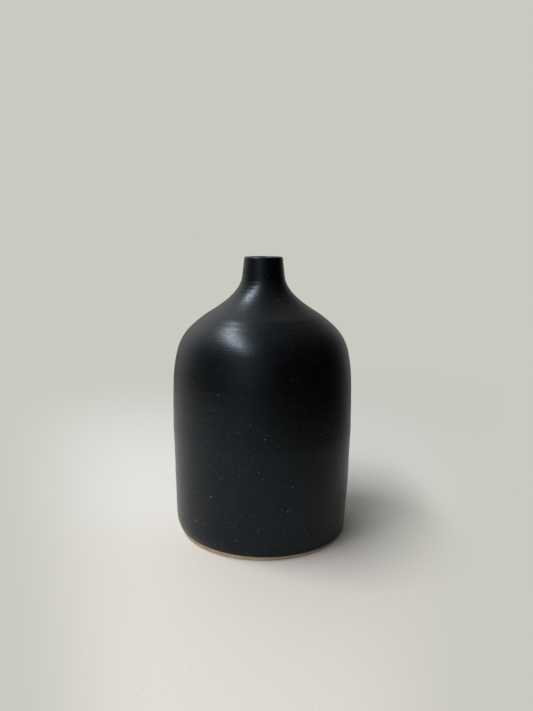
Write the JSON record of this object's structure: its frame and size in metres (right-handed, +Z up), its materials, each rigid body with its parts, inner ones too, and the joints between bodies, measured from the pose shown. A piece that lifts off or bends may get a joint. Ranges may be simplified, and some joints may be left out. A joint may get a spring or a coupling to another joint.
{
  "type": "bottle vase",
  "caption": "Wheel-thrown stoneware bottle vase with a rounded shoulder, a short narrow neck, a black satin glaze and a bare clay band at the foot.",
  "frame": {"origin": "centre of the foot, on the surface that the vase stands on", "axes": "+Z up along the vase's axis, through the mouth; the vase is round, so X and Y are free"},
  "size_m": [0.13, 0.13, 0.2],
  "materials": {
    "bare_clay": "matte",
    "black_glaze": "satin",
    "liner_glaze": "satin"
  },
  "bodies": {
    "root": {"clay_body": "bare_clay", "outer_glaze": "black_glaze", "liner_glaze": "liner_glaze"}
  },
  "joints": []
}
